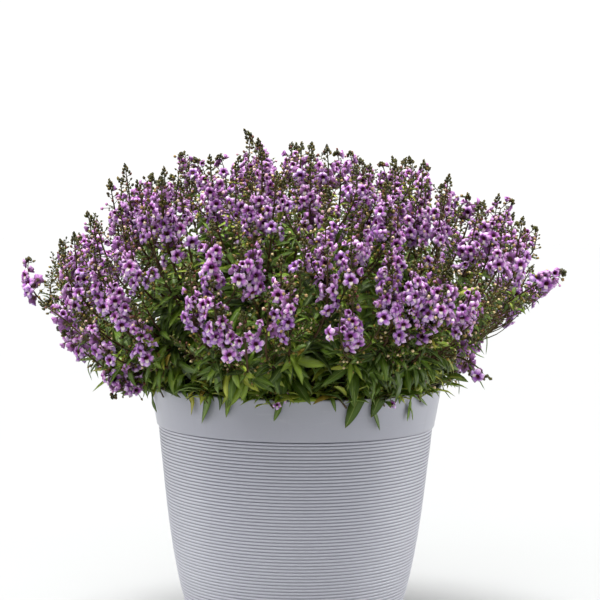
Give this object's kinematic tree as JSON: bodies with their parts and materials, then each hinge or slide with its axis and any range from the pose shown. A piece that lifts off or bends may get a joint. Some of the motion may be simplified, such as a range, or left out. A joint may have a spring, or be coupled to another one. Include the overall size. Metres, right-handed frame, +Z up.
{
  "type": "potted angelonia",
  "caption": "Bushy angelonia with upright spikes of small two-lipped mauve flowers and narrow green leaves, in a round ribbed grey-white pot with a smooth rim band.",
  "frame": {"origin": "middle of the underside of the pot, on the surface it stands on", "axes": "+Z up along the pot's axis, -Y towards the front that the picture shows, +X to the right as seen from the front"},
  "size_m": [0.5467, 0.5264, 0.5163],
  "materials": {
    "pot": "satin",
    "soil": "matte",
    "flowering_branch": "matte",
    "leafy_shoot": "matte"
  },
  "bodies": {
    "root": {"pot": "pot", "soil": "soil", "flowering_branch_01": "flowering_branch", "flowering_branch_02": "flowering_branch", "flowering_branch_03": "flowering_branch", "flowering_branch_04": "flowering_branch", "flowering_branch_05": "flowering_branch", "flowering_branch_06": "flowering_branch", "flowering_branch_07": "flowering_branch", "flowering_branch_08": "flowering_branch", "flowering_branch_09": "flowering_branch", "flowering_branch_10": "flowering_branch", "flowering_branch_11": "flowering_branch", "flowering_branch_12": "flowering_branch", "flowering_branch_13": "flowering_branch", "flowering_branch_14": "flowering_branch", "flowering_branch_15": "flowering_branch", "flowering_branch_16": "flowering_branch", "flowering_branch_17": "flowering_branch", "flowering_branch_18": "flowering_branch", "flowering_branch_19": "flowering_branch", "flowering_branch_20": "flowering_branch", "flowering_branch_21": "flowering_branch", "flowering_branch_22": "flowering_branch", "flowering_branch_23": "flowering_branch", "flowering_branch_24": "flowering_branch", "flowering_branch_25": "flowering_branch", "flowering_branch_26": "flowering_branch", "flowering_branch_27": "flowering_branch", "flowering_branch_28": "flowering_branch", "flowering_branch_29": "flowering_branch", "flowering_branch_30": "flowering_branch", "flowering_branch_31": "flowering_branch", "flowering_branch_32": "flowering_branch", "flowering_branch_33": "flowering_branch", "flowering_branch_34": "flowering_branch", "flowering_branch_35": "flowering_branch", "flowering_branch_36": "flowering_branch", "flowering_branch_37": "flowering_branch", "flowering_branch_38": "flowering_branch", "flowering_branch_39": "flowering_branch", "flowering_branch_40": "flowering_branch", "flowering_branch_41": "flowering_branch", "flowering_branch_42": "flowering_branch", "flowering_branch_43": "flowering_branch", "flowering_branch_44": "flowering_branch", "flowering_branch_45": "flowering_branch", "flowering_branch_46": "flowering_branch", "leafy_shoot_01": "leafy_shoot", "leafy_shoot_02": "leafy_shoot", "leafy_shoot_03": "leafy_shoot", "leafy_shoot_04": "leafy_shoot", "leafy_shoot_05": "leafy_shoot", "leafy_shoot_06": "leafy_shoot", "leafy_shoot_07": "leafy_shoot", "leafy_shoot_08": "leafy_shoot", "leafy_shoot_09": "leafy_shoot", "leafy_shoot_10": "leafy_shoot", "leafy_shoot_11": "leafy_shoot"}
  },
  "joints": []
}
